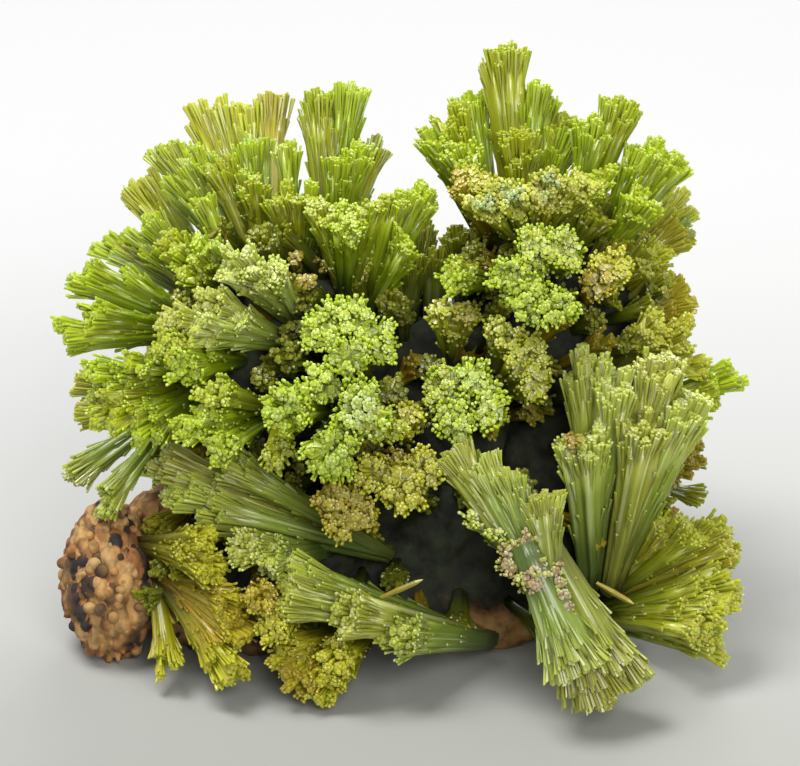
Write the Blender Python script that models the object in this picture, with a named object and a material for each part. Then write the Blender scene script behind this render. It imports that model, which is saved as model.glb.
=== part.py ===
"""Pyromorphite specimen: flaring sheaves of hexagonal prisms on a lump of limonite matrix.

Metres, +Z up, origin at the middle of the footprint, on the surface that it stands on.
Sprays are laid out in a leaning frame, in millimetres: across runs to the right, up runs up the leaning plane,
and near comes out of it towards the front.
"""

import math
import random

import bmesh
import bpy
from mathutils import Matrix, Vector, noise

MM = 0.001

# The layout frame: how far its plane leans back, from how far the front is seen, and where its middle stands
LEAN = math.radians(22)
EYE_DISTANCE = 300.0
CENTRE = Vector((0.03, 0.25, 16.2))

GAP = 0.3  # between neighbours that meet
JACKET = 1.5 * GAP  # how far a corner of the outline that neighbours keep clear of moves out
ROOT_DEPTH = 1.5  # how far a spray's crystals start behind its root, inside the matrix
ROOT_RADIUS = 1.2  # of a stalk where it starts
STALK_LENGTH = 0.8  # share of a lobe's length at which it leaves the stalk
STALK_SHARE = 0.78  # radius of the stalk's end around a lobe, as a share of the lobe's width
STALK_LEAST = 1.15  # least such radius
LOBE_START = 0.66  # share of a lobe's length at which its crystal starts, inside the stalk
LOBE_SHARE = 0.62  # radius of a crystal at its tip, as a share of the lobe's width
FOOT_SHARE = 0.8  # radius of a crystal where it starts, as a share of its radius at the tip
FLAT_ENOUGH = math.radians(2)  # faces of a stalk that meet at less than this are one face
CUT_FLATNESS = math.radians(5)  # the same for faces that a cut leaves
JACKET_FLATNESS = math.radians(12)  # the same for the outline that neighbours keep clear of

# Lumps of the matrix: middle (across, up, near) and radii along across, up and near
MATRIX_LUMPS = [
    ((-18.0, -12.4, -0.5), (3.2, 5.0, 4.2)),
    ((-9.5, -11.0, -3.5), (8.5, 6.6, 6.0)),
    ((3.0, -11.4, -4.5), (8.5, 6.6, 5.0)),
    ((-7.5, 1.0, -2.5), (7.0, 7.5, 5.6)),
    ((9.0, 4.0, -3.8), (5.5, 6.5, 4.6)),
    ((10.5, -6.5, -5.0), (5.0, 7.5, 4.6)),
    ((1.5, -2.5, -5.5), (7.0, 7.0, 4.0)),
]
MATRIX_ROUGHNESS = 0.9  # height of its bumps
MATRIX_BUMP_SIZE = 3.2  # width of its bumps
MATRIX_FACES_KEPT = 0.5  # share of the matrix's faces that is left after its small ones are merged

# Sprays: name, root (across, up, near), and each lobe's tip (across, up, near) with the lobe's width.
# Those listed first keep their full shape, and later ones give way to them.
SPRAYS = [
    # Middle rosettes, pointing at the viewer
    ("bright_front_rosette", (-3.5, -1.5, 3.5),
     [(-7.4, -1.5, 12.5, 2.2), (-2.3, -1.6, 13.5, 2.3), (-4.3, -4.7, 13.5, 2.3), (-0.9, -2.8, 12.0, 1.6),
      (-5.0, 0.1, 12.0, 1.6)]),
    ("centre_upper_rosette", (-3.2, 2.0, 3.0),
     [(-5.2, 3.3, 11.0, 1.7), (-2.8, 4.3, 11.0, 1.8), (-1.0, 2.6, 11.0, 1.6), (-3.2, 1.6, 12.5, 1.7)]),
    ("lime_gold_rosette", (-0.4, -4.5, 0.5),
     [(-1.6, -5.8, 10.5, 1.7), (0.2, -6.8, 11.0, 1.9), (1.6, -5.4, 10.5, 1.6), (0.3, -2.2, 9.5, 1.4)]),
    ("golden_brown_rosette", (-3.0, -7.0, 1.5),
     [(-4.3, -7.6, 9.5, 1.7), (-2.5, -8.4, 9.5, 1.6), (-3.6, -9.0, 9.0, 1.4)]),
    ("yellow_green_rosette", (3.8, -1.8, -2.0),
     [(2.5, 0.0, 9.0, 1.6), (4.4, 0.6, 9.0, 1.7), (3.4, -2.4, 10.0, 1.8), (5.8, -1.6, 9.0, 1.6)]),
    ("olive_green_fan", (6.2, -0.2, -2.5),
     [(6.6, 3.4, 5.5, 1.5), (8.1, 2.0, 6.0, 1.6), (8.8, 0.1, 6.5, 1.5)]),
    ("olive_twin_blades", (3.2, 1.6, -2.0),
     [(2.5, 4.9, 4.5, 1.1), (4.3, 4.6, 4.5, 1.0)]),
    # Left dome, front
    ("left_frilly_fan", (-11.8, 0.2, 1.0),
     [(-19.6, 0.3, 9.0, 1.6), (-18.8, -2.0, 9.5, 1.8), (-16.6, -3.2, 9.0, 1.8), (-17.3, 1.0, 8.5, 1.5)]),
    ("left_bright_fan", (-10.0, 1.6, 2.2),
     [(-15.2, 2.4, 10.0, 1.6), (-14.0, 0.9, 10.5, 1.5)]),
    ("silky_long_fan", (-7.5, 2.6, 2.8),
     [(-14.9, 4.2, 8.5, 1.4), (-13.0, 3.4, 9.5, 1.3), (-12.4, 5.4, 8.0, 1.4)]),
    ("silky_upright_fan", (-6.8, 4.2, 2.6),
     [(-11.2, 7.8, 8.0, 1.4), (-9.8, 7.9, 8.5, 1.2), (-8.2, 7.3, 8.0, 1.4)]),
    ("lower_left_blades", (-8.0, -2.0, 2.2),
     [(-13.5, -2.8, 11.0, 1.4), (-11.6, -4.3, 11.0, 1.4), (-12.0, -0.6, 11.0, 1.4), (-7.6, -4.9, 10.0, 1.3)]),
    ("left_middle_spray", (-10.4, 5.6, 0.0),
     [(-14.6, 9.2, 3.0, 1.4), (-12.7, 9.2, 4.0, 1.5), (-13.6, 7.6, 4.5, 1.3), (-12.4, 11.8, 0.5, 1.1)]),
    # Left dome, top
    ("sparkling_fan", (-3.4, 6.2, 1.0),
     [(-4.9, 11.2, 6.0, 1.5), (-3.2, 10.4, 6.5, 1.6), (-1.7, 11.8, 6.0, 1.4)]),
    ("right_dome_fan", (-1.8, 4.8, -0.5),
     [(0.2, 12.2, 3.0, 1.4), (1.8, 12.3, 3.0, 1.4), (0.6, 9.2, 4.5, 1.4)]),
    ("upper_middle_blades", (-6.4, 7.6, 0.0),
     [(-7.2, 15.2, 1.0, 1.2), (-7.6, 12.4, 3.0, 1.2), (-5.6, 12.5, 3.0, 1.3)]),
    ("tall_top_spray", (-4.2, 7.8, -2.0),
     [(-5.4, 18.5, -2.0, 1.3), (-3.2, 19.0, -2.4, 1.8), (-3.8, 14.3, 1.0, 1.3), (-2.4, 15.0, 0.5, 1.3),
      (-1.3, 15.3, -5.0, 1.2)]),
    ("frosted_dome_spray", (-8.6, 7.6, -2.0),
     [(-9.4, 15.6, -2.0, 1.6), (-11.3, 14.4, -1.5, 1.7), (-9.4, 13.2, 1.0, 1.4)]),
    # Left dome, side and back
    ("left_upper_fan", (-13.0, 3.4, -2.0),
     [(-20.6, 7.0, 0.0, 1.6), (-20.2, 4.5, 1.5, 1.2), (-21.5, 2.9, 1.0, 1.5), (-17.8, 6.6, -1.0, 1.5)]),
    ("left_spiky_spray", (-12.0, 5.2, -3.6),
     [(-19.2, 9.0, -5.0, 1.2), (-17.0, 9.8, -4.0, 1.4), (-16.0, 10.6, -3.0, 1.3)]),
    ("left_shoulder_fan", (-10.0, 7.4, -3.6),
     [(-14.8, 15.2, -4.0, 1.7), (-13.2, 14.8, -3.5, 1.6), (-14.6, 13.2, -3.5, 1.4)]),
    ("left_back_spray", (-11.2, 5.4, -5.4),
     [(-17.0, 12.4, -8.0, 1.4), (-15.8, 13.3, -8.0, 1.3)]),
    ("back_left_spray", (-8.4, 7.0, -5.2),
     [(-12.8, 17.6, -8.0, 1.4), (-11.5, 17.8, -8.0, 1.4), (-9.3, 18.0, -8.5, 1.2), (-7.9, 18.0, -8.5, 1.2)]),
    ("left_rear_spray", (-14.0, -1.4, -5.0),
     [(-20.3, 0.2, -6.5, 1.4), (-20.2, -2.0, -6.5, 1.4)]),
    ("left_columns", (-14.2, -1.8, -1.0),
     [(-20.9, -6.2, -0.5, 1.3), (-18.9, -8.0, 3.8, 1.4)]),
    # Upper right
    ("bright_right_rosette", (9.0, 6.4, 0.0),
     [(6.7, 6.8, 11.0, 1.6), (8.6, 8.6, 11.0, 1.7), (10.5, 8.4, 11.0, 1.6), (8.0, 5.0, 12.0, 1.8),
      (9.9, 4.6, 12.0, 1.6)]),
    ("frosted_lobed_spray", (8.2, 8.6, -1.4),
     [(5.2, 11.4, 7.5, 1.5), (7.0, 12.0, 8.5, 1.6), (9.3, 12.4, 8.5, 1.6), (11.5, 12.6, 7.5, 1.5)]),
    ("gold_bud", (6.2, 8.6, -2.6),
     [(3.9, 13.0, 3.5, 1.4), (5.0, 12.9, 3.5, 1.2)]),
    ("left_pointing_blade", (6.0, 6.2, -1.2),
     [(3.0, 6.5, 6.0, 1.2), (3.4, 7.3, 5.5, 0.9)]),
    ("gold_block", (11.5, 5.2, -0.4),
     [(13.4, 7.6, 8.0, 1.6), (12.6, 6.6, 8.5, 1.4)]),
    ("crown_spray", (7.6, 9.4, -3.5),
     [(6.4, 20.8, -1.5, 1.6), (8.4, 19.0, -2.0, 1.3), (9.8, 17.6, -3.0, 1.3), (10.6, 16.2, -2.5, 1.4),
      (7.4, 16.0, 0.0, 1.5)]),
    ("crown_left_spray", (5.8, 8.6, -4.0),
     [(1.8, 16.2, 0.0, 1.5), (2.9, 17.5, 0.0, 1.4), (3.6, 15.0, 1.5, 1.4), (4.2, 18.4, -4.0, 1.2)]),
    ("right_tall_fan", (10.8, 8.8, -2.6),
     [(12.2, 16.9, 0.4, 1.7), (14.2, 18.0, 0.0, 1.5), (12.6, 13.5, 2.5, 1.5)]),
    ("right_wide_fan", (12.2, 7.6, -2.8),
     [(15.3, 14.9, 0.0, 1.4), (16.8, 15.0, 0.0, 1.5), (17.8, 14.3, -0.5, 1.3), (15.4, 11.8, 2.5, 1.6)]),
    ("right_shadow_spray", (12.8, 6.6, -4.4),
     [(18.5, 11.6, -4.0, 1.5), (18.3, 10.0, -3.0, 1.6), (17.0, 8.6, -1.5, 1.5)]),
    ("orange_olive_fan", (13.2, 3.6, -3.8),
     [(17.0, 7.2, -3.5, 1.6), (18.3, 5.8, -3.5, 1.6), (17.8, 4.0, -2.5, 1.5)]),
    ("right_frilly_spray", (13.2, 0.8, -2.6),
     [(16.2, 3.7, 3.0, 1.5), (18.3, 3.2, 2.5, 1.5), (19.0, 1.4, 2.0, 1.4)]),
    ("right_pointing_blades", (13.6, -2.2, -3.0),
     [(21.3, 0.6, 1.0, 1.3), (19.8, -1.4, 1.5, 1.4), (18.8, -2.5, 2.0, 1.2)]),
    ("brown_right_fan", (13.8, -5.0, -4.6),
     [(19.0, -3.7, -2.0, 1.6), (18.6, -5.0, -1.5, 1.6), (17.2, -6.1, -1.0, 1.4)]),
    # Lower right
    ("glassy_fan_left_branch", (12.0, -11.8, -0.5),
     [(11.7, 2.2, 8.0, 1.7), (13.4, 0.8, 8.5, 1.6), (11.2, -3.0, 8.5, 1.6)]),
    ("glassy_fan_right_branch", (13.4, -12.0, -0.5),
     [(16.8, 1.8, 7.5, 1.7), (18.2, -0.8, 7.5, 1.7), (15.8, -1.8, 8.0, 1.7)]),
    ("broken_foreground_spray", (8.6, -12.0, -0.5),
     [(3.0, -4.0, 9.0, 1.8), (4.6, -4.7, 9.5, 1.7), (6.4, -5.2, 10.0, 1.6), (8.8, -6.6, 12.0, 1.7),
      (9.4, -13.0, 13.0, 2.8), (11.2, -18.2, 11.5, 2.0), (12.8, -20.2, 9.8, 2.0), (14.6, -19.2, 9.4, 1.9)]),
    ("brown_lower_fan", (13.0, -11.0, -3.0),
     [(15.6, -6.2, -0.5, 1.6), (16.2, -8.4, 0.0, 1.6)]),
    ("corner_upper_spray", (13.4, -13.2, -2.0),
     [(17.4, -8.1, 2.5, 1.2), (19.0, -9.0, 3.5, 1.6), (20.8, -8.7, 3.5, 1.5), (21.2, -10.4, 4.0, 1.4)]),
    ("corner_lower_spray", (12.8, -14.6, -1.4),
     [(21.2, -12.3, 5.0, 1.6), (20.6, -14.0, 5.5, 1.6), (19.4, -15.5, 6.0, 1.6), (20.4, -16.4, 4.6, 1.5)]),
    # Lower left
    ("long_diagonal_spray", (-1.6, -10.4, 1.0),
     [(-15.4, -4.6, 5.5, 1.6), (-14.6, -6.4, 6.0, 1.6), (-12.6, -7.8, 6.5, 1.5), (-11.4, -4.8, 6.5, 1.6)]),
    ("silvery_blades", (-5.0, -10.4, 2.2),
     [(-10.2, -10.2, 9.0, 1.4), (-8.6, -11.4, 9.5, 1.3)]),
    ("long_ground_stem", (4.8, -15.9, 0.8),
     [(-7.4, -11.8, 8.5, 1.7), (-7.8, -13.4, 9.0, 1.6), (-3.8, -14.4, 10.0, 1.8), (-0.6, -15.8, 9.5, 1.8)]),
    ("small_left_fan", (-15.6, -10.2, 2.4),
     [(-11.6, -10.0, 7.5, 1.5), (-11.2, -11.8, 7.5, 1.5)]),
    ("lower_left_fan", (-14.6, -12.6, 2.2),
     [(-10.0, -14.2, 7.5, 1.6), (-9.4, -16.2, 7.5, 1.6), (-10.2, -18.6, 8.0, 1.6), (-14.4, -18.4, 5.4, 1.3)]),
    ("yellow_olive_sprig", (-6.0, -13.4, 2.4),
     [(-9.2, -13.4, 9.8, 1.5), (-8.2, -15.4, 9.6, 1.5)]),
    ("brown_ground_fan", (-2.2, -15.6, 1.0),
     [(-7.6, -17.2, 7.5, 1.7), (-6.8, -18.8, 8.0, 1.7), (-5.0, -19.4, 8.0, 1.6), (-4.4, -17.4, 8.6, 1.6)]),
    # Back and underside
    ("back_upper_fan", (-2.4, 4.6, -6.8),
     [(-4.2, 10.4, -13.0, 1.8), (-1.6, 11.2, -13.0, 1.8), (0.8, 9.0, -13.5, 1.7)]),
    ("back_right_fan", (10.0, 5.4, -7.2),
     [(8.4, 11.2, -12.0, 1.7), (10.8, 11.6, -12.0, 1.8), (13.0, 9.6, -11.5, 1.7)]),
    ("back_left_fan", (-10.4, 0.6, -6.8),
     [(-15.6, 5.4, -11.0, 1.7), (-15.4, 2.6, -12.0, 1.8), (-13.0, 6.8, -12.5, 1.7)]),
    ("back_middle_rosette", (-1.0, -3.0, -8.4),
     [(-4.4, -0.6, -15.0, 1.9), (-1.6, 1.4, -15.5, 2.0), (1.6, -1.0, -15.5, 1.9), (-1.8, -3.6, -15.5, 1.9)]),
    ("back_lower_right_fan", (8.6, -8.0, -8.0),
     [(12.0, -4.6, -13.0, 1.8), (12.6, -7.6, -13.0, 1.8), (9.2, -5.4, -14.5, 1.9)]),
    ("back_lower_left_fan", (-11.0, -8.0, -8.0),
     [(-15.2, -4.6, -12.0, 1.8), (-15.8, -7.6, -12.0, 1.7), (-12.0, -6.0, -14.5, 1.9)]),
]


def place(across, up, near):
    """Point of the layout frame, in metres: what is nearer is laid out smaller, as the eye sees it."""
    shrink = 1 - near / EYE_DISTANCE
    point = Vector((
        across * shrink,
        up * shrink * math.sin(LEAN) - near * math.cos(LEAN),
        up * shrink * math.cos(LEAN) + near * math.sin(LEAN),
    ))
    return (CENTRE + point) * MM


def material(name, colour, roughness):
    made = bpy.data.materials.new(name)
    made.use_nodes = True
    shader = made.node_tree.nodes["Principled BSDF"]
    shader.inputs["Base Color"].default_value = (*colour, 1.0)
    shader.inputs["Roughness"].default_value = roughness
    shader.inputs["Metallic"].default_value = 0.0
    made.diffuse_color = (*colour, 1.0)
    return made


def object_from(bm, name, collection):
    mesh = bpy.data.meshes.new(name)
    bm.to_mesh(mesh)
    bm.free()
    made = bpy.data.objects.new(name, mesh)
    collection.objects.link(made)
    return made


def finished(shape, name, look, collection):
    """The node made from a shape that was worked out among the cutters."""
    mesh = shape.data.copy()
    mesh.name = name
    mesh.materials.clear()
    mesh.materials.append(look)
    made = bpy.data.objects.new(name, mesh)
    collection.objects.link(made)
    return made


def remove(objects):
    for made in objects:
        bpy.data.meshes.remove(made.data)


def apply_modifiers(target):
    """Replaces the target's mesh by what its modifiers make of it."""
    graph = bpy.context.evaluated_depsgraph_get()
    mesh = bpy.data.meshes.new_from_object(target.evaluated_get(graph))
    old = target.data
    target.modifiers.clear()
    target.data = mesh
    bpy.data.meshes.remove(old)
    mesh.name = target.name


def combine(target, others, operation):
    """Joins the other objects to the target, or takes them away from it."""
    for other in others:
        step = target.modifiers.new(operation.lower(), "BOOLEAN")
        step.operation = operation
        step.object = other
    apply_modifiers(target)


def bodies_of(bm):
    """The faces of each separate body, the largest body first."""
    left = set(bm.faces)
    bodies = []
    while left:
        todo = [left.pop()]
        body = []
        while todo:
            face = todo.pop()
            body.append(face)
            for edge in face.edges:
                met = left.intersection(edge.link_faces)
                left -= met
                todo += met
        bodies.append(body)
    return sorted(bodies, key=lambda body: -sum(face.calc_area() for face in body))


def tidy_cut(target):
    """Drops the crumbs that a cut leaves beside a body, and merges faces that lie in one plane."""
    bm = bmesh.new()
    bm.from_mesh(target.data)
    crumbs = [face for body in bodies_of(bm)[1:] for face in body]
    bmesh.ops.delete(bm, geom=crumbs, context="FACES")
    bmesh.ops.dissolve_limit(bm, angle_limit=CUT_FLATNESS, verts=bm.verts, edges=bm.edges)
    bm.to_mesh(target.data)
    bm.free()


def keep_hull(bm, flatness):
    """Leaves only the convex outline of what a mesh holds."""
    hull = bmesh.ops.convex_hull(bm, input=bm.verts)
    kept = {g for g in hull["geom"] if isinstance(g, bmesh.types.BMFace)}
    bmesh.ops.delete(bm, geom=[f for f in bm.faces if f not in kept], context="FACES")
    bmesh.ops.delete(bm, geom=[v for v in bm.verts if not v.link_faces], context="VERTS")
    bmesh.ops.dissolve_limit(bm, angle_limit=flatness, verts=bm.verts, edges=bm.edges)
    bmesh.ops.recalc_face_normals(bm, faces=bm.faces)


def hide_cutter(cutter):
    cutter.hide_render = True
    cutter.display_type = "WIRE"


def jacket(target, convex, cutters):
    """The outline of a solid, grown by the gap that its neighbours keep to it."""
    bm = bmesh.new()
    bm.from_mesh(target.data)
    if convex:
        keep_hull(bm, JACKET_FLATNESS)
    bm.normal_update()
    for vertex, out in [(v, v.normal.copy()) for v in bm.verts]:
        vertex.co += out * JACKET * MM
    made = object_from(bm, target.name + "_jacket", cutters)
    hide_cutter(made)
    return made


def bounds(target):
    corners = [target.matrix_world @ Vector(corner) for corner in target.bound_box]
    return Vector(map(min, *corners)), Vector(map(max, *corners))


def may_touch(one, other):
    low, high = bounds(one)
    other_low, other_high = bounds(other)
    return all(low[i] < other_high[i] and other_low[i] < high[i] for i in range(3))


def ring(centre, axis, radius, corner_count):
    """Corners around an axis."""
    side = axis.orthogonal().normalized()
    corners = []
    for step in range(corner_count):
        corner = side.copy()
        corner.rotate(Matrix.Rotation(0.4 + step * math.tau / corner_count, 3, axis))
        corners.append(centre + corner * radius)
    return corners


def stalk(start, tips, cutters):
    """The closed lower part of a spray, where its crystals are still grown together."""
    middle = sum((tip for tip, width in tips), Vector()) / len(tips)
    corners = ring(start, (middle - start).normalized(), ROOT_RADIUS * MM, 4)
    for tip, width in tips:
        radius = max(STALK_SHARE * width, STALK_LEAST) * MM
        corners += ring(start.lerp(tip, STALK_LENGTH), (tip - start).normalized(), radius, 3)
    bm = bmesh.new()
    for corner in corners:
        bm.verts.new(corner)
    keep_hull(bm, FLAT_ENOUGH)
    return object_from(bm, "stalk", cutters)


def crystal(start, tip, width, turn, cutters):
    """The free end of one lobe: a hexagonal prism that flares to its flat tip."""
    foot = start.lerp(tip, LOBE_START)
    axis = tip - foot
    radius = LOBE_SHARE * width * MM
    stand = axis.to_track_quat("Z", "Y").to_matrix().to_4x4()
    middle = Matrix.Translation((foot + tip) / 2)
    bm = bmesh.new()
    bmesh.ops.create_cone(
        bm, cap_ends=True, cap_tris=False, segments=6, radius1=radius * FOOT_SHARE, radius2=radius,
        depth=axis.length, matrix=middle @ stand @ Matrix.Rotation(turn, 4, "Z"))
    return object_from(bm, "crystal", cutters)


def spray(name, root, lobes, look, chance, collection, cutters):
    """A stalk and the crystals of all its lobes, united in one solid."""
    tips = [(place(across, up, near), width) for across, up, near, width in lobes]
    foot = place(*root)
    middle = sum((tip for tip, width in tips), Vector()) / len(tips)
    start = foot + (foot - middle).normalized() * ROOT_DEPTH * MM
    parts = [stalk(start, tips, cutters)]
    parts += [crystal(start, tip, width, chance.uniform(0, 1), cutters) for tip, width in tips]
    combine(parts[0], parts[1:], "UNION")
    made = finished(parts[0], name, look, collection)
    remove(parts)
    return made


def lump(middle, radii, cutters):
    """One rounded lump of the matrix, with bumps that follow its place."""
    bm = bmesh.new()
    bmesh.ops.create_icosphere(bm, subdivisions=2, radius=1.0)
    for vertex in bm.verts:
        out = vertex.co.copy()
        surface = Vector([middle[i] + out[i] * radii[i] for i in range(3)])
        bump = noise.noise(surface / MATRIX_BUMP_SIZE) * MATRIX_ROUGHNESS
        vertex.co = place(*(surface + out * bump))
    return object_from(bm, "lump", cutters)


def limonite_matrix(look, collection, cutters):
    """The matrix lumps in one solid, cut off flat underneath."""
    lumps = [lump(middle, radii, cutters) for middle, radii in MATRIX_LUMPS]
    combine(lumps[0], lumps[1:], "UNION")
    fewer = lumps[0].modifiers.new("fewer faces", "DECIMATE")
    fewer.ratio = MATRIX_FACES_KEPT
    apply_modifiers(lumps[0])
    side, depth = 80 * MM, 20 * MM
    bm = bmesh.new()
    bmesh.ops.create_cube(bm, size=1.0, matrix=Matrix.Translation((0, 0, -depth / 2))
                          @ Matrix.Diagonal((side, side, depth, 1)))
    ground = object_from(bm, "ground", cutters)
    combine(lumps[0], [ground], "DIFFERENCE")
    made = finished(lumps[0], "limonite_matrix", look, collection)
    remove(lumps + [ground])
    tidy_cut(made)
    return made


def main():
    for left_over in list(bpy.data.objects):
        bpy.data.objects.remove(left_over)
    collection = bpy.data.collections.new("pyromorphite")
    cutters = bpy.data.collections.new("cutters")
    for made in (collection, cutters):
        bpy.context.scene.collection.children.link(made)
    rust = material("limonite", (0.42, 0.2, 0.06), 0.9)
    lime = material("pyromorphite", (0.3, 0.4, 0.04), 0.35)
    jackets = [jacket(limonite_matrix(rust, collection, cutters), False, cutters)]
    for number, (name, root, lobes) in enumerate(SPRAYS):
        made = spray(name, root, lobes, lime, random.Random(number + 1), collection, cutters)
        bpy.context.view_layer.update()
        neighbours = [other for other in jackets if may_touch(made, other)]
        if neighbours:
            combine(made, neighbours, "DIFFERENCE")
        tidy_cut(made)
        jackets.append(jacket(made, True, cutters))
        bpy.context.view_layer.update()


main()
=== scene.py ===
import math
from functools import partial

import bpy
import numpy as np
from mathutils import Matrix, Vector


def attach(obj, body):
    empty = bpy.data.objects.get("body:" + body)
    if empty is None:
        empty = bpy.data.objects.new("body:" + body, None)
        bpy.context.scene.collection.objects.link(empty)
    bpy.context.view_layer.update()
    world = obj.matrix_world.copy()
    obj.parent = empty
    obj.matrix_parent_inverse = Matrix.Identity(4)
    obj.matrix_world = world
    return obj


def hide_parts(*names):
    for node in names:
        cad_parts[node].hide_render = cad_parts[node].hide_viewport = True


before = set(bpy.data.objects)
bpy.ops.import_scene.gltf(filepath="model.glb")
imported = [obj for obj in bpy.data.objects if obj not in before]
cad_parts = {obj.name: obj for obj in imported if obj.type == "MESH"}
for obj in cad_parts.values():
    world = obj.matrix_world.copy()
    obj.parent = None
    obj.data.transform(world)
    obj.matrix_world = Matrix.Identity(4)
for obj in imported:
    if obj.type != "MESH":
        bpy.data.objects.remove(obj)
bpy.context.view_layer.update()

mm = 0.001

# The leaning plane that the sprays are laid out on, as in the frame: across to the right, up along the
# plane, near out of it towards the viewer, all in millimetres
layout = {
    "lean": math.radians(22),
    "eyeDistance": 300.0,
    "centre": np.array([0.03, 0.25, 16.2]),
}


def place(points):
    # Layout millimetres to row-frame millimetres: shrink what is near, turn by the lean, move to the centre
    points = np.atleast_2d(np.asarray(points, float))
    shrink = 1 - points[:, 2] / layout["eyeDistance"]
    across, up, near = points[:, 0] * shrink, points[:, 1] * shrink, points[:, 2]
    lean = layout["lean"]
    turned = np.stack([
        across,
        up * math.sin(lean) - near * math.cos(lean),
        up * math.cos(lean) + near * math.sin(lean),
    ], axis=1)
    return turned + layout["centre"]


def unit(vectors):
    # Each vector divided by its length
    return vectors / np.linalg.norm(vectors, axis=-1, keepdims=True)


# Camera

camera = {"distance": 300.0, "lens": 216.0, "sensor": 36.0}


def addCamera():
    # Square on the leaning plane, on the line through its centre
    data = bpy.data.cameras.new("camera")
    data.lens = camera["lens"]
    data.sensor_width = camera["sensor"]
    data.clip_start = 0.001
    seen = bpy.data.objects.new("camera", data)
    bpy.context.scene.collection.objects.link(seen)
    lean = layout["lean"]
    back = Vector((0, -math.cos(lean), math.sin(lean)))
    seen.location = (Vector(layout["centre"]) + back * camera["distance"]) * mm
    seen.rotation_mode = "QUATERNION"
    seen.rotation_quaternion = back.to_track_quat("Z", "Y")
    bpy.context.scene.camera = seen


addCamera()
print("camera ready")

# Meshes from arrays


class Heap:
    # Collects parts of a mesh until they become one piece
    def __init__(self):
        self.vertices, self.attributes, self.count = [], {}, 0
        self.faces = {4: [], 3: [], 6: []}

    def add(self, vertices, faces, attributes, smooth=False):
        # faces: arrays whose rows are the numbers of four, three or six of this part's corners
        self.vertices.append(vertices)
        for rows in faces:
            self.faces[rows.shape[1]].append((rows + self.count, np.full(len(rows), smooth)))
        for key, values in attributes.items():
            self.attributes.setdefault(key, []).append(values)
        self.count += len(vertices)

    def piece(self, name, material):
        # One object from all the parts: faces of four corners come first, then of three, then of six
        faces = [entry for group in self.faces.values() for entry in group]
        loops = np.concatenate([rows.ravel() for rows, smooth in faces]).astype(np.int32)
        sizes = np.concatenate([np.full(len(rows), rows.shape[1]) for rows, smooth in faces])
        starts = np.concatenate([[0], np.cumsum(sizes)[:-1]]).astype(np.int32)
        mesh = bpy.data.meshes.new(name)
        mesh.vertices.add(self.count)
        mesh.vertices.foreach_set("co", (np.concatenate(self.vertices) * mm).astype(np.float32).ravel())
        mesh.loops.add(len(loops))
        mesh.loops.foreach_set("vertex_index", loops)
        mesh.polygons.add(len(sizes))
        mesh.polygons.foreach_set("loop_start", starts)
        mesh.polygons.foreach_set("use_smooth", np.concatenate([smooth for rows, smooth in faces]))
        mesh.update(calc_edges=True)
        for key, values in self.attributes.items():
            layer = mesh.attributes.new(key, "FLOAT", "POINT")
            layer.data.foreach_set("value", np.concatenate(values).astype(np.float32))
        mesh.validate()
        mesh.materials.append(material)
        made = bpy.data.objects.new(name, mesh)
        bpy.context.scene.collection.objects.link(made)
        return made


# Crystals

bundle = {
    "tipShare": 0.69,  # radius of a lobe at its tip, as a share of its width
    "rootShare": 0.44,  # width of a lobe where it starts, as a share of its width at the tip
    "flutes": 54,  # corners around a lobe's core
    "fluteDepth": 0.03,  # how far every second corner is set in, as a share of the radius
    "coreRings": 6,  # rings of these corners
    "coreSpan": (0.03, 0.8),  # where they lie evenly, as shares of the length; the last one then moves up
    "coreBelow": (0.1, 0.42),  # how far the last one stays below its finger's end
    "uneven": (0.012, 0.008),  # spread of a flute's radius and of a single corner's
    "footShare": 0.9,  # how near the axis a stud's foot is, as a share of its own place
    "scatter": 0.025,  # how far a stud's end strays
    "innerSpacing": 0.215,  # between the studs of the end face
    "innerShare": 0.88,  # how far out these reach, as a share of the rim's distance
    "innerSize": (0.56, 0.76),  # their radius, as a share of their spacing
    "rimSpacing": 0.125,  # between the finer studs around the end face
    "rimShare": (0.9, 0.99),  # their place, as a share of the rim's distance
    "rimSize": (0.6, 1.0),  # their radius, as a share of their spacing
    "teeth": 0.32,  # how far they stand out
    "scales": 24,  # short studs that end along the flank of a lobe as wide as scaleWidth
    "scaleWidth": 1.5,
    "scaleShare": 0.97,  # their place, as a share of the rim's distance
    "scaleReach": (0.3, 0.93),  # where they end, before the power that crowds them towards the tip
    "scaleSize": (0.07, 0.13),  # their radius
    "scalesOut": (0.04, 0.14),  # how far they stand out
    "finger": 0.74,  # between the fingers that a lobe splits into
    "fingerStep": 1.7,  # how much shorter a finger may be
    "fingerShare": 0.2,  # the same at most, as a share of the lobe's length
    "cleft": 0.21,  # width of the grooves between fingers
    "cleftDepth": 0.2,  # their depth on the flank, as a share of the radius
    "groove": 0.14,  # how far a finger's studs draw together at the tip
    "raggedness": 0.15,  # how much shorter a stud may be than its finger
    "dome": 0.4,  # how much shorter the rim of a lobe is than its middle
    "splay": 0.12,  # how far the rim turns out at the tip
}


def hexGrid(radius, spacing, rng):
    # Points of a hexagonal grid in a square around the origin, each moved a little
    steps = int(radius / spacing) + 3
    column, row = np.meshgrid(np.arange(-steps, steps + 1), np.arange(-steps, steps + 1))
    points = np.stack([(column + 0.5 * (row % 2)).ravel(), 0.866 * row.ravel()], axis=1) * spacing
    points += rng.uniform(-0.5, 0.5, 2) * spacing
    return points + rng.normal(0, 0.13, points.shape) * spacing


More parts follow.
